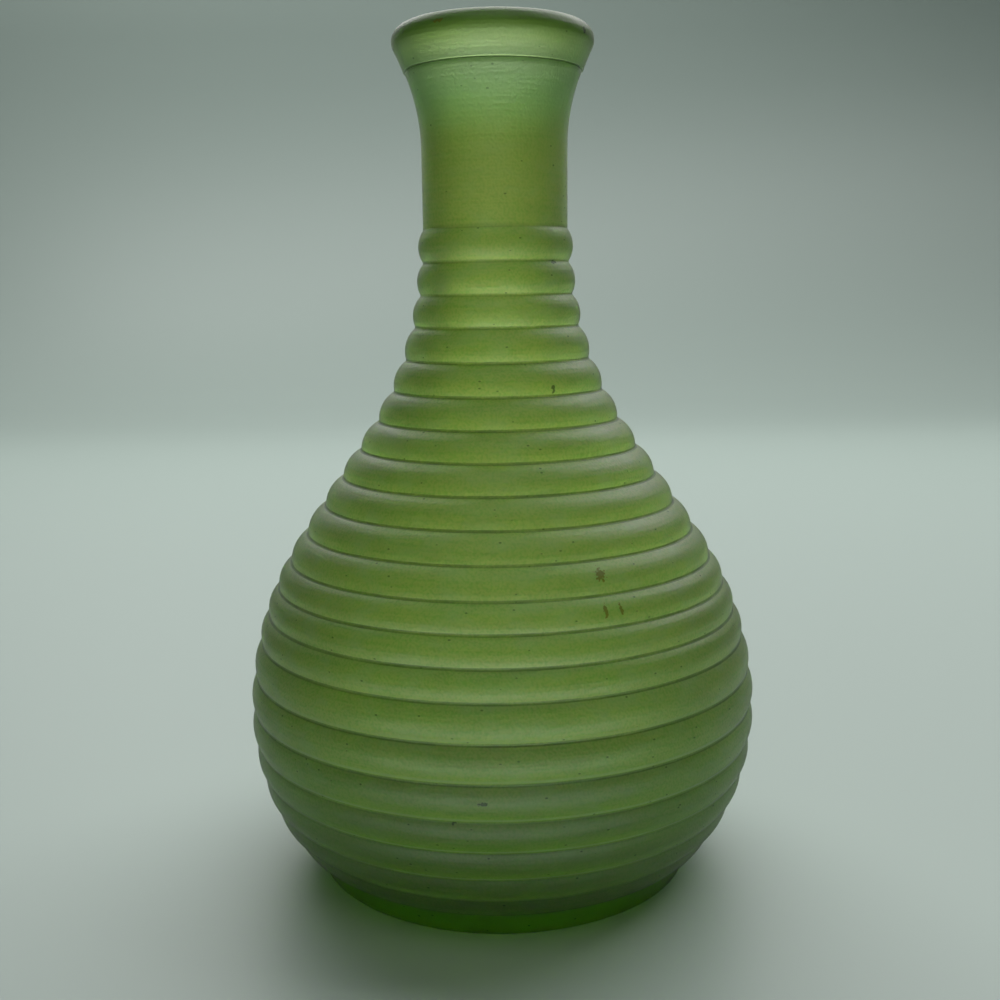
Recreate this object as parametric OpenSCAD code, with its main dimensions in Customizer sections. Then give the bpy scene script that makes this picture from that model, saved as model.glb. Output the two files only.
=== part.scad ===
// Bud vase with a round ribbed belly, a plain neck and a flared mouth.
// One piece of hollow glass: every outline below is turned round the Z axis.
// Millimetres, +Z up, origin at the middle of the face that the foot stands on.

/* [Belly] */
// Width over the ribs at the widest point of the belly, to within half a millimetre
belly_d = 129.2; // [108:0.1:156]
// Height of the widest point above the table
belly_z = 41.6; // [35:0.1:50]
// Radius of the wall's curve round the widest point
girth_r = 62.4; // [52:0.1:75]
// Lean of the wall where the girth curve meets the shoulder curve, in degrees
girth_lean = 7.6; // [6:0.1:9.2]
// Radius of the wall's curve over the shoulder
shoulder_r = 84; // [70:0.5:101]
// Lean of the straight cone between the shoulder and the throat, in degrees
cone_lean = 35; // [31:0.1:41]
// Lean of the wall where the girth curve meets the heel curve, in degrees
heel_lean = 15.7; // [13:0.1:19]

/* [Neck] */
// Outer width of the plain neck
neck_d = 34.4; // [30:0.1:42]
// Radius of the hollow curve between the cone and the neck
throat_r = 80; // [66:0.5:96]
// Length of plain neck between the top rib and the flare
neck_len = 18.2; // [15:0.1:60]

/* [Mouth] */
// Outer width of the mouth
mouth_d = 46.6; // [42:0.1:56]
// Height of the mouth, from the start of the flare to the top of the rim
flare_h = 26; // [21:0.5:32]
// Radius of the rim's outer edge
rim_r = 3.3; // [2.8:0.1:4]
// Radius of the rim's inner edge
rim_inner_r = 1.3; // [1:0.1:1.6]
// Depth of the mould's parting line below the top of the rim
seam_drop = 9.9; // [8:0.1:12]
// Height of the step at the parting line
seam_step = 0.25; // [0.1:0.05:0.4]

/* [Foot] */
// Width of the standing face
foot_d = 96.2; // [80:0.1:106]
// Height of the plain band below the ribs
foot_h = 6.6; // [5.5:0.1:8]
// Lean of the plain band, in degrees
foot_lean = 22; // [18:0.5:27]
// Radius of the edge between the band and the standing face
foot_edge_r = 1.2; // [0.8:0.1:1.5]
// Width of the standing face's ring
ring_w = 5.6; // [4.6:0.1:6.8]
// Rise of the hollow under the foot
punt_h = 4.5; // [3.5:0.1:5.5]

/* [Glass] */
// Thickness of the wall at the grooves between the ribs
wall = 3.1; // [2.5:0.1:3.8]
// Thickness of the floor
floor_t = 5.2; // [4.3:0.1:6.3]

/* [Ribs] */
// Height of each rib's crest over the grooves beside it
rib_h = 1.2; // [0.9:0.05:1.5]
// Distance from the start of the throat's curve up to the top rib's upper groove
rib_lead = 2.1; // [1.5:0.1:3]
// Bands of ribs from the neck down, each [ribs, groove to groove], stretched together to fill the wall
rib_bands = [[3, 7.5], [8, 8.1], [3, 7.15], [3, 8.7], [4, 7.9]];

/* [Hidden] */
$fn = 180;
GLASS = [0.36, 0.58, 0.18];
ARC_STEP = 3;       // degrees between the points of a drawn arc
WALL_STEPS = 90;    // points down the inside of the wall

bore_r = neck_d / 2 - wall;
groove_r = belly_d / 2 - rib_h;
foot_r = foot_d / 2;
foot_top_r = foot_r + foot_h * tan(foot_lean);

function arc_len(radius, degrees) = radius * degrees * PI / 180;
function sum(list, i = 0) = i < len(list) ? list[i] + sum(list, i + 1) : 0;

// The heel curve leaves the girth curve at heel_lean and ends on the top edge of the foot band.
heel_start = [groove_r - girth_r * (1 - cos(heel_lean)), belly_z - girth_r * sin(heel_lean)];
heel_inward = [-cos(heel_lean), sin(heel_lean)];
heel_chord = [foot_top_r, foot_h] - heel_start;
heel_r = heel_chord * heel_chord / (2 * heel_inward * heel_chord);
heel_centre = heel_start + heel_r * heel_inward;
heel_side = sign(heel_r);   // -1 where the foot is so wide that the heel curve bends outward
heel_end_lean = atan2(heel_side * (heel_centre.y - foot_h), heel_side * (foot_top_r - heel_centre.x));

// The cone takes up whatever width is left between the curves above and below it.
cone_w = groove_r - neck_d / 2 - girth_r * (1 - cos(girth_lean))
    - shoulder_r * (cos(girth_lean) - cos(cone_lean)) - throat_r * (1 - cos(cone_lean));
cone_len = cone_w / sin(cone_lean);

// Groove line of the wall from the plain neck down: each stretch is [length, lean at its top, lean at its end].
STRETCHES = [
    [rib_lead, 0, 0],
    [arc_len(throat_r, cone_lean), 0, cone_lean],
    [cone_len, cone_lean, cone_lean],
    [arc_len(shoulder_r, cone_lean - girth_lean), cone_lean, girth_lean],
    [arc_len(girth_r, girth_lean + heel_lean), girth_lean, -heel_lean],
    [arc_len(heel_r, heel_end_lean - heel_lean), -heel_lean, -heel_end_lean]
];
wall_len = sum([for (stretch = STRETCHES) stretch[0]]);
ribs_top_z = belly_z + girth_r * sin(girth_lean) + shoulder_r * (sin(cone_lean) - sin(girth_lean))
    + cone_len * cos(cone_lean) + throat_r * sin(cone_lean) + rib_lead;
flare_z = ribs_top_z + neck_len;
height = flare_z + flare_h;

// Point at a distance along one stretch that begins at start.
function along(start, stretch, distance) =
    let (turn = stretch[2] - stretch[1], lean = stretch[1] + turn * distance / stretch[0])
    turn == 0
        ? start + distance * [sin(lean), -cos(lean)]
        : let (radius = stretch[0] * 180 / (PI * turn))
            start + radius * [cos(stretch[1]) - cos(lean), sin(stretch[1]) - sin(lean)];

// [radius, height, lean] of the groove line at a distance down from the top groove.
function groove_line(distance, i = 0, start = [neck_d / 2, ribs_top_z]) =
    let (stretch = STRETCHES[i], last = i == len(STRETCHES) - 1)
    last || distance <= stretch[0]
        ? let (point = along(start, stretch, distance))
            [point.x, point.y, stretch[1] + (stretch[2] - stretch[1]) * distance / stretch[0]]
        : groove_line(distance - stretch[0], i + 1, along(start, stretch, stretch[0]));

// Distances of the grooves down the wall, one more than there are ribs.
PITCHES = [for (band = rib_bands) for (k = [1 : band[0]]) band[1]];
pitch_scale = wall_len / sum(PITCHES);
function groove_distance(i) = i == 0 ? 0 : groove_distance(i - 1) + PITCHES[i - 1] * pitch_scale;
GROOVES = [for (i = [0 : len(PITCHES)]) groove_line(groove_distance(i))];
GROOVE_BACKS = [for (g = GROOVES) [g.x - wall / 4 * cos(g[2]), g.y - wall / 4 * sin(g[2])]];

function arc(centre, radius, from, to) =
    let (steps = max(2, ceil(abs(to - from) / ARC_STEP)))
    [for (k = [0 : steps]) let (a = from + (to - from) * k / steps) centre + radius * [cos(a), sin(a)]];

// Mouth: an outer and an inner flare, both upright at flare_z, that run into the rim's two edges without a corner.
rim_x = mouth_d / 2 - rim_r;
rim_centre = [rim_x, height - rim_r];
rim_inner_centre = [rim_x, height - rim_inner_r];
function flare_radius(reach, rise, edge_r) = (reach * reach + rise * rise - edge_r * edge_r) / (2 * (reach + edge_r));
flare_out_r = flare_radius(rim_x - neck_d / 2, flare_h - rim_r, rim_r);
flare_in_r = flare_radius(rim_x - bore_r, flare_h - rim_inner_r, -rim_inner_r);
flare_out_centre = [neck_d / 2 + flare_out_r, flare_z];
flare_in_centre = [bore_r + flare_in_r, flare_z];
flare_out_turn = asin((flare_h - rim_r) / (flare_out_r + rim_r));
flare_in_turn = asin((flare_h - rim_inner_r) / (flare_in_r - rim_inner_r));
seam_turn = asin((flare_h - seam_drop) / flare_out_r);

// Above the parting line the wall stands out by seam_step, which dies away towards the rim.
function seam_to_rim() =
    let (steps = ceil((flare_out_turn - seam_turn) / ARC_STEP) + 2)
    [for (k = [0 : steps])
        let (a = 180 - seam_turn - (flare_out_turn - seam_turn) * k / steps)
        flare_out_centre + (flare_out_r - seam_step * (1 - k / steps)) * [cos(a), sin(a)]
    ];

// Foot: a standing ring with a rounded outer edge round a hollow dome.
foot_edge_centre = [foot_r - foot_edge_r * (1 - sin(foot_lean)) / cos(foot_lean), foot_edge_r];
ring_in_r = foot_edge_centre.x - ring_w;
dome_r = (ring_in_r * ring_in_r + punt_h * punt_h) / (2 * punt_h);
dome_turn = asin(ring_in_r / dome_r);

// The inside of the heel runs into the floor on a curve drawn towards heel_corner.
heel_in = [foot_top_r - wall * cos(heel_end_lean), foot_h + wall * sin(heel_end_lean)];
floor_edge = [ring_in_r, floor_t];
heel_reach = (heel_in.y - floor_edge.y + (heel_in.x - floor_edge.x) * tan(dome_turn))
    / (cos(heel_end_lean) + sin(heel_end_lean) * tan(dome_turn));
heel_corner = heel_in - heel_reach * [sin(heel_end_lean), cos(heel_end_lean)];

function dome(edge_z) = arc([0, edge_z + punt_h - dome_r], dome_r, 90, 90 - dome_turn);

function heel_fillet() = [
    for (t = [0.9 : -0.1 : 0.1])
        (1 - t) * (1 - t) * heel_in + 2 * t * (1 - t) * heel_corner + t * t * floor_edge
];

// Inside of the wall from the heel up to the bore, one wall thickness in from the groove line.
function inner_wall() = [
    for (k = [WALL_STEPS : -1 : 0])
        let (g = groove_line(rib_lead + (wall_len - rib_lead) * k / WALL_STEPS))
        [g.x - wall * cos(g[2]), g.y - wall * sin(g[2])]
];

// Everything inside the outside of the glass, up to the top of the rim, without the ribs. It stays a little
// inside the grooves, so that the ribs meet each other there, and runs on into the first and last rib.
module outside() {
    polygon(concat(
        dome(0),
        arc(foot_edge_centre, foot_edge_r, -90, -foot_lean),
        [[foot_top_r + rib_h * tan(foot_lean), foot_h + rib_h]],
        [for (i = [len(GROOVES) - 2 : -1 : 1]) GROOVE_BACKS[i]],
        [[neck_d / 2, ribs_top_z - rib_h]],
        arc(flare_out_centre, flare_out_r, 180, 180 - seam_turn),
        seam_to_rim(),
        arc(rim_centre, rim_r, -flare_out_turn + ARC_STEP, 90),
        [[0, height]]
    ));
}

// Each rib is the part of a circle that stands out between two grooves.
module ribs() {
    for (i = [0 : len(GROOVES) - 2]) {
        top = [GROOVES[i].x, GROOVES[i].y];
        low = [GROOVES[i + 1].x, GROOVES[i + 1].y];
        half_pitch = norm(low - top) / 2;
        rib_r = (half_pitch * half_pitch + rib_h * rib_h) / (2 * rib_h);
        inward = [low.y - top.y, top.x - low.x] / (2 * half_pitch);
        translate((top + low) / 2 + (rib_r - rib_h) * inward) circle(r = rib_r);
    }
}

// The hollow: floor, wall, bore and mouth, open at the top.
module hollow() {
    polygon(concat(
        dome(floor_t),
        heel_fillet(),
        inner_wall(),
        arc(flare_in_centre, flare_in_r, 180, 180 - flare_in_turn),
        arc(rim_inner_centre, rim_inner_r, 180 - flare_in_turn - ARC_STEP, 90),
        [[rim_x, height + rim_r], [0, height + rim_r]]
    ));
}

module vase_glass() {
    color(GLASS)
        rotate_extrude()
            difference() {
                union() {
                    outside();
                    ribs();
                }
                hollow();
            }
}

vase_glass();
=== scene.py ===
"""Glass bud vase with a ribbed belly, a plain neck and a flared mouth, on a pale studio floor."""

import math

import bmesh
import bpy
from bpy.props import FloatProperty, FloatVectorProperty, IntProperty, PointerProperty
from mathutils import Euler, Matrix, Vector


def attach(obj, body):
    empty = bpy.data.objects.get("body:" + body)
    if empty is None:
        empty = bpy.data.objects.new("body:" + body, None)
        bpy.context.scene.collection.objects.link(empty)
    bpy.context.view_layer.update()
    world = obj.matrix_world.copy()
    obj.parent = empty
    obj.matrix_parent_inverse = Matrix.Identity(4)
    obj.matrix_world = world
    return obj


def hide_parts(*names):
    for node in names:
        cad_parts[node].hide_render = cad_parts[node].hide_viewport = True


bl_info = {
    "name": "Glass Bud Vase",
    "version": (1, 0, 0),
    "blender": (4, 5, 0),
    "location": "3D View > Sidebar > Bud Vase",
    "description": "Makes a ribbed glass bud vase and a plain studio stage for it",
    "category": "Add Mesh",
}

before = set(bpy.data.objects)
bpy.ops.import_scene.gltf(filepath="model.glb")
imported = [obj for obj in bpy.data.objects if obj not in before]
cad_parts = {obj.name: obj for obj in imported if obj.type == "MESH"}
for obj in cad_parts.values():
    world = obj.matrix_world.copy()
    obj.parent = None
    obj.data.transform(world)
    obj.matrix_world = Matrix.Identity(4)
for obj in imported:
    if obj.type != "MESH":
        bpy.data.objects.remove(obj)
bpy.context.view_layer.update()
MM = 0.001
NODE_GAP = 180.0
"""Distance between one node and the next in the node editor."""
CORNER_STEPS = 6
"""Facets round each rounded corner of the outline."""
CURVE_STEPS = 14
"""Lines along each long curve of the foot, the floor and the mouth."""
TINY_ROUND = 0.1 * MM
"""Radius of the corners at the parting line."""
FAR_MARK = 9.0
"""Reach, in a mark's own half sizes, that counts as no mark."""
SPREAD = 0.004
SPREAD_BY_COLOUR = (0.8, 1.0, 0.5)
"""How far light spreads in the satin, in metres, and the share of that for red, green and blue."""
PAINTED_RIB_SHEEN = (1.0, 1.0, 0.9, 1.0)
# Colour of the pale line painted along each low rib just above its groove: a painted reflection of the pale
# floor in front.
"""Colour of the worn lip along the top of each low rib."""


# ------------------------------------------------------------------------------
# Nodes


class Socket:
    """A node's output that takes part in sums: each operator adds one Math node to the output's tree."""

    def __init__(self, board, output):
        self.board = board
        self.output = output

    def math(self, operation, *others, clamp=False):
        settings = {"operation": operation, "use_clamp": clamp}
        return self.board.add("ShaderNodeMath", settings, [self, *others])["Value"]

    def __add__(self, other):
        return self.math("ADD", other)

    def __sub__(self, other):
        return self.math("SUBTRACT", other)

    def __mul__(self, other):
        return self.math("MULTIPLY", other)

    def __truediv__(self, other):
        return self.math("DIVIDE", other)

    __radd__ = __add__
    __rmul__ = __mul__

    def __rsub__(self, other):
        return (self * -1.0) + other

    def __neg__(self):
        return self * -1.0

    def clamped(self):
        return self.math("ADD", 0.0, clamp=True)

    def smoothstep(self, low, high):
        """0 where this is low, 1 where it is high, and an S curve between the two."""
        node = self.board.add(
            "ShaderNodeMapRange",
            {"interpolation_type": "SMOOTHSTEP"},
            {"Value": self, "From Min": low, "From Max": high},
        )
        return node["Result"]

    def dip(self, centre, width):
        """1 at centre, falling to 0 at a distance of width on either side."""
        return (self - centre).math("ABSOLUTE").smoothstep(width, 0.0)


class Added:
    """A node that has been added to a tree: its outputs are read by name."""

    def __init__(self, board, node):
        self.board = board
        self.node = node

    def __getitem__(self, name):
        return Socket(self.board, find(self.node.outputs, name))


def find(sockets, name):
    """The socket in use that has this name or this place."""
    used = [s for s in sockets if s.enabled and not s.is_unavailable]
    return used[name] if isinstance(name, int) else next(s for s in used if s.name == name)


class Board:
    """A node tree that nodes are added to."""

    def __init__(self, tree):
        self.tree = tree

    def add(self, kind, settings=None, values=None):
        """Adds a node of a kind, with its settings first and then the values or links of its sockets."""
        node = self.tree.nodes.new(kind)
        node.location = (NODE_GAP * len(self.tree.nodes), 0.0)
        for name, setting in (settings or {}).items():
            setattr(node, name, setting)
        values = values or {}
        for name, value in values.items() if isinstance(values, dict) else enumerate(values):
            socket = find(node.inputs, name)
            if isinstance(value, Socket):
                self.tree.links.new(value.output, socket)
            else:
                socket.default_value = value
        return Added(self, node)

    def vector(self, operation, *values):
        return self.add("ShaderNodeVectorMath", {"operation": operation}, list(values))["Vector"]

    def mix(self, factor, first, second):
        """A colour between two."""
        values = {"Factor": factor, "A": first, "B": second}
        return self.add("ShaderNodeMix", {"data_type": "RGBA"}, values)["Result"]


def linear(red, green, blue):
    """A colour given as display values from 0 to 255, as the light values that a shader takes."""
    def one(value):
        value /= 255.0
        return value / 12.92 if value <= 0.04045 else ((value + 0.055) / 1.055) ** 2.4

    return (one(red), one(green), one(blue))


# ------------------------------------------------------------------------------
# Sizes and colours


def size(name, description, default):
    """A length that is given in millimetres."""
    return FloatProperty(
        name=name, description=description, default=default * MM, min=0.0, unit="LENGTH", precision=5
    )


def angle(name, description, default):
    return FloatProperty(name=name, description=description, default=math.radians(default), subtype="ANGLE")


def colour(name, description, default):
    return FloatVectorProperty(
        name=name, description=description, default=default, subtype="COLOR", min=0.0, max=1.0
    )


class VaseSettings(bpy.types.PropertyGroup):
    """Sizes and colours of the vase."""

    belly_d: size("Belly Width", "Width over the ribs at the widest point of the belly", 129.2)
    belly_z: size("Belly Height", "Height of the widest point above the floor", 41.6)
    girth_r: size("Girth Curve", "Radius of the wall's curve round the widest point", 62.4)
    girth_lean: angle("Girth Lean", "Lean of the wall where the girth curve meets the shoulder curve", 7.6)
    shoulder_r: size("Shoulder Curve", "Radius of the wall's curve over the shoulder", 84.0)
    cone_lean: angle("Cone Lean", "Lean of the straight cone between the shoulder and the throat", 35.0)
    heel_lean: angle("Heel Lean", "Lean of the wall where the girth curve meets the heel curve", 15.7)
    neck_d: size("Neck Width", "Outer width of the plain neck", 34.4)
    throat_r: size("Throat Curve", "Radius of the hollow curve between the cone and the neck", 80.0)
    neck_len: size("Neck Length", "Length of plain neck between the top rib and the flare", 18.2)
    mouth_d: size("Mouth Width", "Outer width of the mouth", 46.6)
    flare_h: size("Flare Height", "Height of the mouth above the start of its flare", 26.0)
    rim_r: size("Rim Outer Edge", "Radius of the rim's outer edge", 3.3)
    rim_inner_r: size("Rim Inner Edge", "Radius of the rim's inner edge", 1.3)
    seam_drop: size("Parting Line Depth", "Depth of the mould's parting line below the top of the rim", 9.9)
    seam_step: size("Parting Line Step", "Height of the step at the parting line", 0.25)
    seam_cut: size("Parting Line Cut", "Depth of the fine cut at the parting line", 0.3)
    foot_d: size("Foot Width", "Width of the standing face", 96.2)
    foot_h: size("Foot Band", "Height of the plain band below the ribs", 6.6)
    foot_lean: angle("Foot Lean", "Lean of the plain band", 22.0)
    foot_edge_r: size("Foot Edge", "Radius of the edge between the band and the standing face", 1.2)
    ring_w: size("Ring Width", "Width of the standing face's ring", 5.6)
    punt_h: size("Punt Height", "Rise of the hollow under the foot", 4.5)
    wall: size("Wall", "Thickness of the wall at the grooves between the ribs", 3.1)
    floor_t: size("Floor", "Thickness of the floor", 5.2)
    rib_h: size("Rib Height", "Height of each rib's crest over the grooves beside it", 1.2)
    rib_lead: size("Rib Lead", "Distance from the throat's curve up to the top rib's upper groove", 2.1)
    groove_round: size("Groove Round", "Radius of the glass in the grooves between the ribs", 0.6)
    waviness: size("Waviness", "How far the wall falls short of a true turned shape", 0.16)
    rib_steps: IntProperty(name="Rib Steps", description="Facets across each rib", default=10, min=2)
    turn_steps: IntProperty(name="Turn Steps", description="Facets round the vase", default=180, min=12)
    glass: colour("Glass", "Colour that the glass gives to light on its surface", (0.97, 0.93, 0.45))
    glass_shade: colour("Glass Shade", "Darker colour of the satin's grain", (0.56, 0.74, 0.24))
    haze: colour("Haze", "Colour of the paler bloom on the satin", (0.90, 0.95, 0.72))
    # Heel Glass is painted shade: a darker, greener tint standing in for the dimmer light on the lower
    # belly
    painted_heel_shade: colour("Heel Glass", "Colour that the satin takes down the heel", (0.36, 0.62, 0.10))
    foot_glass: colour("Foot Glass", "Colour of the thick glass in the foot", (0.65, 1.0, 0.02))
    neck_glass: colour("Neck Glass", "Colour that the satin takes up the neck", (0.50, 0.53, 0.20))
    # Lip Bloom is a painted sheen: the pale floor's reflection on the flare under the lip, painted into the
    # colour
    painted_lip_sheen: colour("Lip Bloom", "Colour of the pale bloom under the lip", (0.68, 0.92, 0.66))
    # Rim Glass is partly the thick rim's deeper colour and partly painted shade on the rim band
    rim_glass_and_shade: colour("Rim Glass", "Colour of the thick glass round the rim", (0.17, 0.28, 0.03))
    rust: colour("Rust Marks", "Colour of the brown marks", (0.34, 0.15, 0.01))
    # the specks' colour is also used for the dark lines in the grooves and the parting line, which are
    # partly painted shade
    soot: colour("Dark Specks", "Colour of the dark specks", (0.02, 0.04, 0.01))
    depth_colour: colour("Glass Depth", "Colour of light from deep in the glass", (0.35, 0.64, 0.04))
    depth_density: FloatProperty(
        name="Glass Density",
        description="How strongly the glass takes up light, per metre",
        default=140.0,
        min=0.0,
    )


RIB_BANDS = ((3, 7.5), (8, 8.1), (3, 7.15), (3, 8.7), (4, 7.9))
"""Bands of ribs from the neck down, each (ribs, groove to groove), stretched together to fill the wall."""


class StageSettings(bpy.types.PropertyGroup):
    """Floor, light and camera."""

    floor_colour: colour("Floor", "Colour of the floor and the backdrop", linear(174, 189, 181))
    floor_w: FloatProperty(name="Floor Width", description="Width of the floor", default=3.0, unit="LENGTH")
    lens: FloatProperty(name="Lens", description="Focal length of the camera, in mm", default=42.38)
    shift: FloatProperty(name="Shift", description="Rise of the picture, in its widths", default=0.1)
    distance: size("Camera Distance", "Level distance from the vase's axis to the camera", 293.15)
    height: size("Camera Height", "Height of the camera above the floor", 143.89)
    pitch: angle("Camera Pitch", "How far the camera looks down", 14.54)
    roll: angle("Camera Roll", "How far the camera leans to its right", 0.865)


# ------------------------------------------------------------------------------
# The vase


def stretches(s):
    """Groove line from the neck down: stretches of (length, lean at its top, lean at its end)."""
    groove_r = s.belly_d / 2 - s.rib_h
    foot_top = (s.foot_d / 2 + s.foot_h * math.tan(s.foot_lean), s.foot_h)
    start = (
        groove_r - s.girth_r * (1 - math.cos(s.heel_lean)),
        s.belly_z - s.girth_r * math.sin(s.heel_lean),
    )
    inward = Vector((-math.cos(s.heel_lean), math.sin(s.heel_lean)))
    chord = Vector(foot_top) - Vector(start)
    heel_r = chord.dot(chord) / (2 * inward.dot(chord))
    centre = Vector(start) + heel_r * inward
    side = sign(heel_r)  # -1 where the foot is so wide that the heel curve bends outward
    heel_end = math.atan2(side * (centre.y - foot_top[1]), side * (foot_top[0] - centre.x))
    cone_w = (
        groove_r
        - s.neck_d / 2
        - s.girth_r * (1 - math.cos(s.girth_lean))
        - s.shoulder_r * (math.cos(s.girth_lean) - math.cos(s.cone_lean))
        - s.throat_r * (1 - math.cos(s.cone_lean))
    )
    return [
        (s.rib_lead, 0.0, 0.0),
        (s.throat_r * s.cone_lean, 0.0, s.cone_lean),
        (cone_w / math.sin(s.cone_lean), s.cone_lean, s.cone_lean),
        (s.shoulder_r * (s.cone_lean - s.girth_lean), s.cone_lean, s.girth_lean),
        (s.girth_r * (s.girth_lean + s.heel_lean), s.girth_lean, -s.heel_lean),
        (heel_r * (heel_end - s.heel_lean), -s.heel_lean, -heel_end),
    ]


def along(start, stretch, distance):
    """(place, lean) at a distance down a stretch that begins at start."""
    length, top, end = stretch
    lean = top + (end - top) * distance / length
    if abs(end - top) < 1e-9:
        return start + distance * Vector((math.sin(lean), -math.cos(lean))), lean
    radius = length / (end - top)
    turn = Vector((math.cos(top) - math.cos(lean), math.sin(top) - math.sin(lean)))
    return start + radius * turn, lean


def walk(line, top, distance):
    """(place, lean) at a distance down a line of stretches that begins at top."""
    for stretch in line[:-1]:
        if distance <= stretch[0]:
            return along(top, stretch, distance)
        top, _ = along(top, stretch, stretch[0])
        distance -= stretch[0]
    return along(top, line[-1], distance)


class Outline:
    """Corners of the wall's section in order, each with how its line goes on to the next corner."""

    def __init__(self):
        self.corners = []

    def corner(self, place, bulge=0.0, steps=1, rounding=0.0):
        """A rounded corner, whose line to the next one bows out of the glass by bulge in so many steps."""
        self.corners.append((Vector(place), bulge, steps, rounding))

    def arc(self, centre, radius, first, last, steps, rounding=0.0):
        """An arc that begins at one angle and would end at another, up to the next corner."""
        centre = Vector(centre)
        half = (last - first) / 2
        bulge = radius * (1 - math.cos(half)) * sign(half)
        self.corner(centre + radius * on_circle(first), bulge, steps, rounding)
        return centre + radius * on_circle(last)


def on_circle(turn):
    return Vector((math.cos(turn), math.sin(turn)))


def sign(value):
    return 1.0 if value >= 0 else -1.0


def flare_radius(reach, rise, edge):
    return (reach * reach + rise * rise - edge * edge) / (2 * (reach + edge))


def outline(s):
    """The wall's section: under the foot, up the outside, over the rim and down to the floor."""
    line = stretches(s)
    wall_len = sum(stretch[0] for stretch in line)
    drop = -sum(along(Vector((0, 0)), stretch, stretch[0])[0].y for stretch in line)
    ribs_top = s.foot_h + drop
    neck = Vector((s.neck_d / 2, ribs_top))
    flare_z = ribs_top + s.neck_len
    height = flare_z + s.flare_h
    pitches = [pitch for count, pitch in RIB_BANDS for _ in range(count)]
    stretch_by = wall_len / sum(pitches)
    distances = [stretch_by * sum(pitches[:i]) for i in range(len(pitches) + 1)]
    grooves = [walk(line, neck, distance)[0] for distance in distances]

    section = Outline()
    foot_r = s.foot_d / 2
    lean = s.foot_lean
    edge = Vector((foot_r - s.foot_edge_r * (1 - math.sin(lean)) / math.cos(lean), s.foot_edge_r))
    ring_r = edge.x - s.ring_w
    dome_r = (ring_r * ring_r + s.punt_h * s.punt_h) / (2 * s.punt_h)
    dome_turn = math.asin(ring_r / dome_r)
    dome_bulge = dome_r * (1 - math.cos(dome_turn / 2))

    # under the foot and up its band
    section.corner((0.0, s.punt_h), -dome_bulge, CURVE_STEPS)
    section.corner((ring_r, 0.0), rounding=1.0 * MM)
    section.arc(edge, s.foot_edge_r, -math.pi / 2, -lean, 6)
    section.corner(edge + s.foot_edge_r * on_circle(-lean))
    # ribs, from the foot up
    places = {"groove": len(section.corners)}
    for groove in reversed(grooves[1:]):
        section.corner(groove, s.rib_h, s.rib_steps, s.groove_round)
    section.corner(grooves[0], rounding=s.groove_round)
    # neck, flare and rim
    rim_x = s.mouth_d / 2 - s.rim_r
    out_r = flare_radius(rim_x - s.neck_d / 2, s.flare_h - s.rim_r, s.rim_r)
    out_centre = Vector((s.neck_d / 2 + out_r, flare_z))
    out_turn = math.asin((s.flare_h - s.rim_r) / (out_r + s.rim_r))
    seam_turn = math.asin((s.flare_h - s.seam_drop) / out_r)
    bore_r = s.neck_d / 2 - s.wall
    in_r = flare_radius(rim_x - bore_r, s.flare_h - s.rim_inner_r, -s.rim_inner_r)
    in_centre = Vector((bore_r + in_r, flare_z))
    in_turn = math.asin((s.flare_h - s.rim_inner_r) / (in_r - s.rim_inner_r))
    end = section.arc(out_centre, out_r, math.pi, math.pi - seam_turn, CURVE_STEPS)
    section.corner(end)
    places["seam"] = len(section.corners)
    cut = s.seam_cut / out_r
    deepest = out_centre + (out_r + s.seam_cut) * on_circle(math.pi - seam_turn - cut)
    section.corner(deepest, rounding=TINY_ROUND)
    seam_turn += 1.6 * cut
    proud = out_centre + (out_r - s.seam_step) * on_circle(math.pi - seam_turn)
    lip = out_r * (1 - math.cos((out_turn - seam_turn) / 2))
    section.corner(proud, -lip, 8, TINY_ROUND)
    section.arc((rim_x, height - s.rim_r), s.rim_r, -out_turn, math.pi / 2, CURVE_STEPS)
    places["rim"] = len(section.corners)
    section.arc((rim_x, height - s.rim_inner_r), s.rim_inner_r, math.pi / 2, math.pi - in_turn, 6)
    # down the inside
    inner_lip = in_centre + in_r * on_circle(math.pi - in_turn)
    section.corner(inner_lip, in_r * (1 - math.cos(in_turn / 2)), 16)
    section.corner((bore_r, flare_z))
    place = neck
    for length, top, last in line:
        inner = place - s.wall * on_circle(top)
        if top != last:
            radius = length / (last - top) + s.wall
            turn = abs(last - top) / 2
            steps = max(4, round(math.degrees(turn)))
            section.corner(inner, radius * (1 - math.cos(turn)), steps)
        elif place != neck:
            section.corner(inner)
        place, _ = along(place, (length, top, last), length)
    # heel and floor
    last = line[-1][2]
    heel = place - s.wall * on_circle(last)
    rim = Vector((ring_r, s.floor_t))
    slope = math.tan(dome_turn)
    reach = (heel.y - rim.y + (heel.x - rim.x) * slope) / (math.cos(last) - math.sin(last) * slope)
    turn_at = heel + reach * Vector((math.sin(last), -math.cos(last)))
    for i in range(8):
        t = i / 8
        section.corner((1 - t) ** 2 * heel + 2 * t * (1 - t) * turn_at + t * t * rim)
    section.corner(rim, dome_bulge, CURVE_STEPS)
    section.corner((0.0, s.floor_t + s.punt_h))
    return section.corners, places


def outline_mesh(corners):
    """A chain of edges through an outline's corners, with each line's values on its first point."""
    mesh = bpy.data.meshes.new("Vase outline")
    points = [(place.x, 0.0, place.y) for place, *_ in corners]
    mesh.from_pydata(points, [(i, i + 1) for i in range(len(points) - 1)], [])
    kept = (("bulge", "FLOAT"), ("steps", "INT"), ("rounding", "FLOAT"))
    for column, (name, kind) in enumerate(kept, start=1):
        attribute = mesh.attributes.new(name, kind, "POINT")
        attribute.data.foreach_set("value", [corner[column] for corner in corners])
    return mesh


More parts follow.
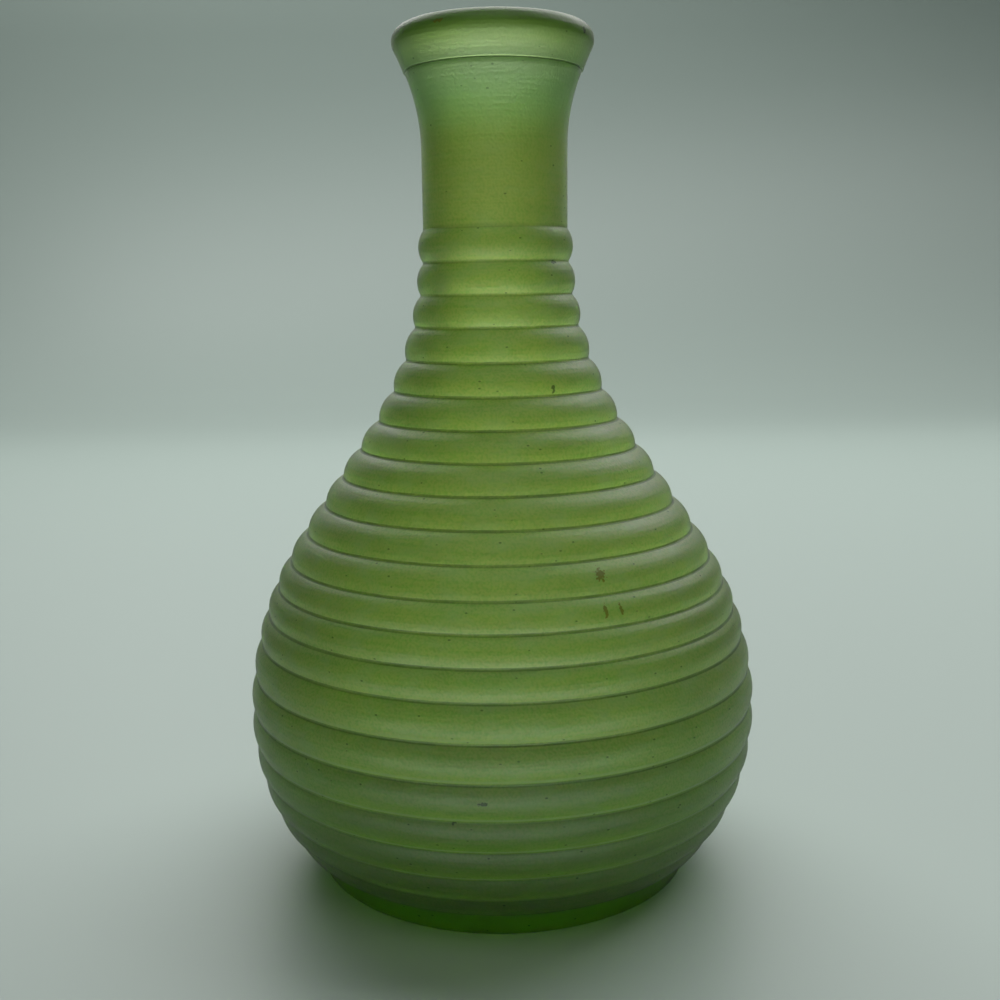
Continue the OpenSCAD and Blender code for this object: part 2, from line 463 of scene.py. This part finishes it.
def turning_tree():
    """Geometry nodes that bow an outline's lines, round its corners and turn it round the Z axis."""
    tree = bpy.data.node_groups.new("Turned wall", "GeometryNodeTree")
    sockets = {}
    for name, kind, in_out in (
        ("Outline", "Geometry", "INPUT"),
        ("Turn Steps", "Int", "INPUT"),
        ("Corner Steps", "Int", "INPUT"),
        ("Waviness", "Float", "INPUT"),
        ("Glass", "Material", "INPUT"),
        ("Wall", "Geometry", "OUTPUT"),
    ):
        socket = tree.interface.new_socket(name, in_out=in_out, socket_type="NodeSocket" + kind)
        sockets[name] = socket.identifier
    b = Board(tree)
    given = b.add("NodeGroupInput")

    def attribute(name, kind="FLOAT"):
        return b.add("GeometryNodeInputNamedAttribute", {"data_type": kind}, {"Name": name})["Attribute"]

    def stored(geometry, name, value, kind="FLOAT"):
        return b.add(
            "GeometryNodeStoreNamedAttribute",
            {"data_type": kind, "domain": "POINT"},
            {"Geometry": geometry, "Name": name, "Value": value},
        )["Geometry"]

    def scaled(vector, scale):
        values = {"Vector": vector, "Scale": scale}
        return b.add("ShaderNodeVectorMath", {"operation": "SCALE"}, values)["Vector"]

    def sampled(geometry, value, index, kind="FLOAT"):
        return b.add(
            "GeometryNodeSampleIndex",
            {"data_type": kind, "domain": "POINT", "clamp": True},
            {"Geometry": geometry, "Value": value, "Index": index},
        )["Value"]

    index = b.add("GeometryNodeInputIndex")["Index"]
    position = b.add("GeometryNodeInputPosition")["Position"]

    # each line of the outline is cut into steps, and keeps how far along the outline each point is
    corners = b.add("GeometryNodeMeshToCurve", None, {"Mesh": given["Outline"]})["Curve"]
    corners = stored(corners, "place", index)
    cuts = attribute("steps", "INT") - 1.0
    cut = b.add("GeometryNodeSubdivideCurve", None, {"Curve": corners, "Cuts": cuts})["Curve"]
    place = attribute("place")
    corner = (place + 1e-4).math("FLOOR")
    part = place - corner
    first = sampled(corners, position, corner, "FLOAT_VECTOR")
    second = sampled(corners, position, corner + 1.0, "FLOAT_VECTOR")
    bulge = sampled(corners, attribute("bulge"), corner)
    # the bow is part of a circle through both corners, and its points are even along it
    chord = b.vector("SUBTRACT", second, first)
    length = b.add("ShaderNodeVectorMath", {"operation": "LENGTH"}, [chord])["Value"].math("MAXIMUM", 1e-7)
    depth = bulge.math("ABSOLUTE").math("MAXIMUM", 1e-8)
    radius = (length * length / 4.0 + depth * depth) / (depth * 2.0)
    most = (depth * 2.0 / length).math("ARCTANGENT") * 2.0
    turn = (part * 2.0 - 1.0) * most
    forward = turn.math("SINE") * radius
    outward = (
        ((most + turn) / 2.0).math("SINE") * ((most - turn) / 2.0).math("SINE") * radius * 2.0
    ) * bulge.math("SIGN")
    ahead = b.vector("NORMALIZE", chord)
    aside = b.vector("CROSS_PRODUCT", ahead, (0.0, -1.0, 0.0))
    halfway = {"Factor": 0.5, "A": first, "B": second}
    middle = b.add("ShaderNodeMix", {"data_type": "VECTOR"}, halfway)["Result"]
    bowed = b.vector("ADD", middle, b.vector("ADD", scaled(ahead, forward), scaled(aside, outward)))
    bowed_line = b.add("GeometryNodeSetPosition", None, {"Geometry": cut, "Position": bowed})["Geometry"]
    at_corner = (place - place.math("ROUND")).math("ABSOLUTE").math("LESS_THAN", 1e-3)
    rounding = sampled(corners, attribute("rounding"), place.math("ROUND")) * at_corner
    line = b.add(
        "GeometryNodeFilletCurve",
        {"mode": "POLY"},
        {"Curve": bowed_line, "Radius": rounding, "Limit Radius": True, "Count": given["Corner Steps"]},
    )["Curve"]

    # the line is turned round the axis: a grid has a column for each point and a row for each step
    domain = b.add("GeometryNodeAttributeDomainSize", {"component": "CURVE"}, {"Geometry": line})
    count = domain["Point Count"]
    rows = given["Turn Steps"] + 1.0
    grid = b.add(
        "GeometryNodeMeshGrid",
        None,
        {"Size X": 1.0, "Size Y": 1.0, "Vertices X": count, "Vertices Y": rows},
    )["Mesh"]
    column = ((index + 0.5) / rows).math("FLOOR")
    turned = (column * rows - index) * (2.0 * math.pi) / given["Turn Steps"]
    section = b.add("ShaderNodeSeparateXYZ", None, [sampled(line, position, column, "FLOAT_VECTOR")])
    grid = stored(grid, "outline_place", sampled(line, place, column))
    placed = b.add(
        "ShaderNodeCombineXYZ",
        None,
        {
            "X": section["X"] * turned.math("COSINE"),
            "Y": section["X"] * turned.math("SINE"),
            "Z": section["Z"],
        },
    )["Vector"]
    # the wall is drawn in unevenly by up to the waviness, and never out
    swell = b.add("ShaderNodeTexNoise", None, {"Vector": placed, "Scale": 26.0, "Detail": 1.5})["Fac"]
    drawn = 1.0 - swell.smoothstep(0.3, 0.7) * given["Waviness"] / section["X"].math("MAXIMUM", 0.004)
    inward = b.add("ShaderNodeCombineXYZ", None, {"X": drawn, "Y": drawn, "Z": 1.0})["Vector"]
    level = b.vector("MULTIPLY", placed, inward)
    wall = b.add("GeometryNodeSetPosition", None, {"Geometry": grid, "Position": level})["Geometry"]
    wall = b.add("GeometryNodeMergeByDistance", None, {"Geometry": wall, "Distance": 1e-6})["Geometry"]
    wall = b.add("GeometryNodeSetShadeSmooth", None, {"Geometry": wall, "Shade Smooth": True})["Geometry"]
    wall = b.add("GeometryNodeRealizeInstances", None, {"Geometry": wall})["Geometry"]
    finish = {"Geometry": wall, "Material": given["Glass"]}
    wall = b.add("GeometryNodeSetMaterial", None, finish)["Geometry"]
    b.add("NodeGroupOutput", None, [wall])
    return tree, sockets


def plain_mesh(name, mesh, tree, inputs):
    """A piece whose mesh is what a tree of geometry nodes makes of another mesh."""
    maker = bpy.data.objects.new(name, mesh)
    bpy.context.scene.collection.objects.link(maker)
    modifier = maker.modifiers.new(tree.name, "NODES")
    modifier.node_group = tree
    for identifier, value in inputs.items():
        modifier[identifier] = value
    graph = bpy.context.evaluated_depsgraph_get()
    made = bpy.data.meshes.new_from_object(maker.evaluated_get(graph), depsgraph=graph)
    maker.modifiers.remove(modifier)
    while made.materials and made.materials[0] is None:
        made.materials.pop(index=0)
    maker.data = made
    made.name = name
    return maker


MARKS = {
    "rust": ((25, 85, 1.2, 1.2), (24, 78, 0.5, 1.2), (28, 78, 0.5, 1.2), (-30, 200.5, 3.0, 0.4)),
    "soot": (
        (-4, 40, 0.9, 0.5),
        (-10, 35, 0.5, 0.4),
        (30, 123, 1.0, 1.0),
        (48, 151, 3.0, 0.4),
        (60, 200, 2.0, 0.6),
    ),
}
"""Marks on the outside of the glass, each (bearing, height, half width in degrees, half height).

Bearings are in degrees round the vase from its front, and heights are in millimetres.
"""


def marks(b, skin, ragged, places):
    """1 inside each mark and 0 outside all of them."""
    nearest = ragged + FAR_MARK
    for bearing, height, wide, tall in places:
        aside = b.vector("SUBTRACT", skin, (bearing, height, 0.0))
        aside = b.vector("DIVIDE", aside, (wide, tall, 1.0))
        reach = b.add("ShaderNodeVectorMath", {"operation": "LENGTH"}, [aside])["Value"]
        nearest = nearest.math("MINIMUM", reach)
    return (nearest + ragged).smoothstep(1.2, 0.7)


def satin_glass(s, places):
    """Green satin glass: light goes through it, spreads, and takes on its colour."""
    material = bpy.data.materials.new("Satin green glass")
    material.use_nodes = True
    material.node_tree.nodes.clear()
    b = Board(material.node_tree)
    spot = b.add("ShaderNodeTexCoord")["Object"]
    split = b.add("ShaderNodeSeparateXYZ", None, [spot])
    height = split["Z"]
    along_outline = b.add("ShaderNodeAttribute", {"attribute_name": "outline_place"})["Fac"]
    outside = along_outline.math("LESS_THAN", float(places["rim"]))

    def noise(detail, *stretch):
        """Noise with so many cells to a metre along X, Y and Z."""
        values = {"Vector": b.vector("MULTIPLY", spot, stretch), "Scale": 1.0, "Detail": detail}
        return b.add("ShaderNodeTexNoise", None, values)["Fac"]

    grain = noise(0.0, 1700.0, 1700.0, 1700.0)
    mottle = noise(1.0, 55.0, 55.0, 80.0)
    haze = noise(2.0, 120.0, 120.0, 260.0)
    turned = noise(0.0, 60.0, 60.0, 1500.0)
    combed = noise(0.0, 620.0, 620.0, 24.0) * height.dip(0.188, 0.013)

    # the tone drifts over the wall, is flecked by the satin, and changes by height
    tone = mottle.smoothstep(0.3, 0.75) * 0.16 + grain.smoothstep(0.35, 0.75) * 0.6 + combed * 0.3
    tone += turned.smoothstep(0.5, 0.75) * 0.3
    colour = b.mix(tone.clamped(), (*s.glass, 1.0), (*s.glass_shade, 1.0))
    colour = b.mix(haze.smoothstep(0.45, 0.72) * 0.45, colour, (*s.haze, 1.0))
    # heights here are in metres above the floor, and each tint has its own greatest cover
    for cover, tint in (
        (height.smoothstep(0.14, 0.185) * 0.6, s.neck_glass),
        # painted sheen under the lip, standing in for the pale floor's reflection
        (height.dip(0.19, 0.014) * 0.6, s.painted_lip_sheen),
        # rim band darkened: partly the thick glass's deeper colour, partly painted shade
        (height.smoothstep(0.1965, 0.1995) * 0.85, s.rim_glass_and_shade),
        # painted shade: darker and greener towards the floor
        (height.smoothstep(0.06, 0.02) * 0.5, s.painted_heel_shade),
        (height.smoothstep(0.009, 0.005) * 0.85, s.foot_glass),
    ):
        colour = b.mix(cover, colour, (*tint, 1.0))

    # a dark line lies in the parting line, where it is painted shade in the line's cut, and in each groove,
    # where it is partly dust and partly painted shade in the crease; it is fainter at the neck and the heel
    first_groove = places["groove"]
    last_groove = first_groove + sum(count for count, _ in RIB_BANDS)
    past_foot = along_outline.math("GREATER_THAN", first_groove - 0.5)
    ribs = past_foot * along_outline.math("LESS_THAN", last_groove + 0.5)
    above_groove = along_outline - along_outline.math("ROUND")
    plain = height.smoothstep(0.11, 0.155) * 0.4 + height.smoothstep(0.05, 0.03) * 0.5
    line = above_groove.dip(0.0, 0.045) * ribs * (0.35 + haze) * (0.7 - plain)
    # painted shade in the parting line's cut
    line = line + along_outline.dip(places["seam"], 1.8) * 0.9
    # painted reflection: a pale line just above each low groove, where the rib's lower edge would mirror
    # the pale floor
    lip = above_groove.dip(0.09, 0.08) * height.smoothstep(0.065, 0.04) * ribs
    colour = b.mix(lip * 0.85, colour, PAINTED_RIB_SHEEN)
    colour = b.mix(line.clamped(), colour, (*s.soot, 1.0))

    bearing = split["X"].math("ARCTAN2", -split["Y"]) * math.degrees(1.0)
    skin = b.add("ShaderNodeCombineXYZ", None, {"X": bearing, "Y": height / MM})["Vector"]
    ragged = (grain - 0.5) * 2.0
    squashed = b.vector("MULTIPLY", spot, (1.0, 1.0, 1.7))
    specks = b.add("ShaderNodeTexVoronoi", None, {"Vector": squashed, "Scale": 300.0})
    chosen = b.add("ShaderNodeSeparateColor", None, [specks["Color"]])["Red"].math("GREATER_THAN", 0.6)
    dust = specks["Distance"].smoothstep(0.13, 0.06) * chosen
    soot = marks(b, skin, ragged, MARKS["soot"]).math("MAXIMUM", dust * 0.8)
    rust = marks(b, skin, ragged, MARKS["rust"])
    colour = b.mix(rust * outside * 0.9, colour, (*s.rust, 1.0))
    colour = b.mix(soot * outside * 0.9, colour, (*s.soot, 1.0))

    relief = grain * 0.7 + turned * 0.6 + haze * 0.5 + combed * 0.8
    bump = b.add("ShaderNodeBump", None, {"Strength": 0.4, "Distance": 0.0002, "Height": relief})["Normal"]
    surface = b.add(
        "ShaderNodeBsdfPrincipled",
        None,
        {
            "Base Color": colour,
            "Roughness": 0.38 + mottle * 0.12,
            "IOR": 1.5,
            "Subsurface Weight": 1.0,
            "Subsurface Radius": SPREAD_BY_COLOUR,
            "Subsurface Scale": SPREAD,
            "Transmission Weight": 0.93,
            "Normal": bump,
        },
    )
    absorbed = {"Color": (*s.depth_colour, 1.0), "Density": s.depth_density}
    depth = b.add("ShaderNodeVolumeAbsorption", None, absorbed)
    b.add("ShaderNodeOutputMaterial", None, {"Surface": surface["BSDF"], "Volume": depth["Volume"]})
    return material


class BUDVASE_OT_glass(bpy.types.Operator):
    """Make the vase from its sizes"""

    bl_idname = "budvase.glass"
    bl_label = "Vase Glass"
    bl_options = {"REGISTER", "UNDO"}

    def execute(self, context):
        s = context.scene.bud_vase
        tree, inputs = turning_tree()
        corners, places = outline(s)
        vase = plain_mesh(
            "vase",
            outline_mesh(corners),
            tree,
            {
                inputs["Turn Steps"]: s.turn_steps,
                inputs["Corner Steps"]: CORNER_STEPS,
                inputs["Waviness"]: s.waviness,
                inputs["Glass"]: satin_glass(s, places),
            },
        )
        if not vase.data.polygons:
            raise RuntimeError("The vase's outline made no faces")
        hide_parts("vase_glass")
        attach(vase, "root")
        return {"FINISHED"}


# ------------------------------------------------------------------------------
# The stage


def floor_material(s):
    material = bpy.data.materials.new("Pale floor")
    material.use_nodes = True
    material.node_tree.nodes.clear()
    b = Board(material.node_tree)
    looks = {"Base Color": (*s.floor_colour, 1.0), "Roughness": 0.45}
    surface = b.add("ShaderNodeBsdfPrincipled", None, looks)
    b.add("ShaderNodeOutputMaterial", None, {"Surface": surface["BSDF"]})
    return material


WHITE = (1.0, 1.0, 1.0)
COOL = (0.9, 1.0, 1.0)
LIGHTS = (
    ("window light", (0.0, 0.8, 0.55), (0.0, 0.0, 0.1), 1.9, 0.7, 1.7, WHITE),
    ("sky light", (0.2, 0.75, 1.2), (0.0, 0.0, 0.0), 2.4, 1.3, 24.5, WHITE),
    ("low light", (0.0, -0.6, 0.16), (0.0, 0.0, 0.13), 0.5, 0.25, 0.15, WHITE),
    ("bounce light", (0.0, -0.2, 0.004), (0.0, -0.2, 1.0), 0.45, 0.14, 0.5, COOL),
    ("top light", (0.0, -0.35, 0.7), (0.0, -0.1, 0.0), 0.6, 0.4, 0.5, WHITE),
)
"""Lights of the studio, each (name, place, target, width, depth, power, colour), in metres and watts."""


def area_light(name, place, target, width, depth, power, colour):
    light = bpy.data.lights.new(name, "AREA")
    light.shape = "RECTANGLE"
    light.size, light.size_y = width, depth
    light.energy, light.color = power, colour
    lamp = bpy.data.objects.new(name, light)
    lamp.location = place
    lamp.rotation_euler = (Vector(target) - Vector(place)).to_track_quat("-Z", "Y").to_euler()
    lamp.visible_camera = False
    bpy.context.scene.collection.objects.link(lamp)


BACKDROP_BEND = 0.5
BACKDROP_BACK = 1.5
BACKDROP_TOP = 2.0
"""The backdrop's bend, its distance behind the vase and its height, in metres."""
BEND_STEPS = 12
WORLD_LIGHT = 0.04
CAMERA_ASIDE = -0.21 * MM
"""How far the camera stands to the right of the vase's axis."""


class BUDVASE_OT_stage(bpy.types.Operator):
    """Set up the floor, the backdrop, the lights and the camera"""

    bl_idname = "budvase.stage"
    bl_label = "Stage"
    bl_options = {"REGISTER", "UNDO"}

    def execute(self, context):
        s = context.scene.bud_vase_stage
        scene = context.scene
        half = s.floor_w / 2
        bend = BACKDROP_BEND
        bend_start = BACKDROP_BACK - bend
        section = [(-half, 0.0), (bend_start, 0.0)]
        for i in range(1, BEND_STEPS + 1):
            turn = math.radians(90.0 / BEND_STEPS * i)
            section.append((bend_start + bend * math.sin(turn), bend - bend * math.cos(turn)))
        section.append((BACKDROP_BACK, BACKDROP_TOP))
        mesh = bpy.data.meshes.new("floor")
        bm = bmesh.new()
        rows = [[bm.verts.new((x, y, z)) for x in (-half, half)] for y, z in section]
        for (a, b), (d, c) in zip(rows, rows[1:]):
            bm.faces.new((a, b, c, d)).smooth = True
        bm.to_mesh(mesh)
        bm.free()
        floor = bpy.data.objects.new("floor", mesh)
        mesh.materials.append(floor_material(s))
        scene.collection.objects.link(floor)

        world = bpy.data.worlds.new("Studio")
        world.use_nodes = True
        world.node_tree.nodes.clear()
        b = Board(world.node_tree)
        even = {"Color": (*linear(235, 240, 245), 1.0), "Strength": WORLD_LIGHT}
        sky = b.add("ShaderNodeBackground", None, even)
        b.add("ShaderNodeOutputWorld", None, {"Surface": sky["Background"]})
        scene.world = world

        for light in LIGHTS:
            area_light(*light)

        lens = bpy.data.cameras.new("camera")
        lens.sensor_width = 36.0
        lens.lens = s.lens
        lens.shift_y = s.shift
        lens.clip_start = 0.01
        camera = bpy.data.objects.new("camera", lens)
        camera.location = (CAMERA_ASIDE, -s.distance, s.height)
        tilt = Euler((math.pi / 2 - s.pitch, 0.0, 0.0)).to_matrix()
        lean = Euler((0.0, 0.0, -s.roll)).to_matrix()
        camera.rotation_euler = (tilt @ lean).to_euler()
        scene.collection.objects.link(camera)
        scene.camera = camera
        scene.view_settings.view_transform = "Standard"
        return {"FINISHED"}


class BUDVASE_PT_sidebar(bpy.types.Panel):
    """Lists the vase's and the stage's sizes, colours and makers"""

    bl_idname = "BUDVASE_PT_sidebar"
    bl_label = "Bud Vase"
    bl_space_type = "VIEW_3D"
    bl_region_type = "UI"
    bl_category = "Bud Vase"

    def draw(self, context):
        for operator, settings in MAKERS:
            box = self.layout.box()
            box.operator(operator.bl_idname)
            group = getattr(context.scene, settings)
            for name in group.__annotations__:
                box.prop(group, name)


MAKERS = ((BUDVASE_OT_glass, "bud_vase"), (BUDVASE_OT_stage, "bud_vase_stage"))
CLASSES = (VaseSettings, StageSettings, BUDVASE_OT_glass, BUDVASE_OT_stage, BUDVASE_PT_sidebar)


def register():
    for cls in CLASSES:
        bpy.utils.register_class(cls)
    bpy.types.Scene.bud_vase = PointerProperty(type=VaseSettings)
    bpy.types.Scene.bud_vase_stage = PointerProperty(type=StageSettings)


def unregister():
    del bpy.types.Scene.bud_vase_stage
    del bpy.types.Scene.bud_vase
    for cls in reversed(CLASSES):
        bpy.utils.unregister_class(cls)


def main():
    register()
    bpy.ops.budvase.glass()
    bpy.ops.budvase.stage()


if __name__ == "__main__":
    main()
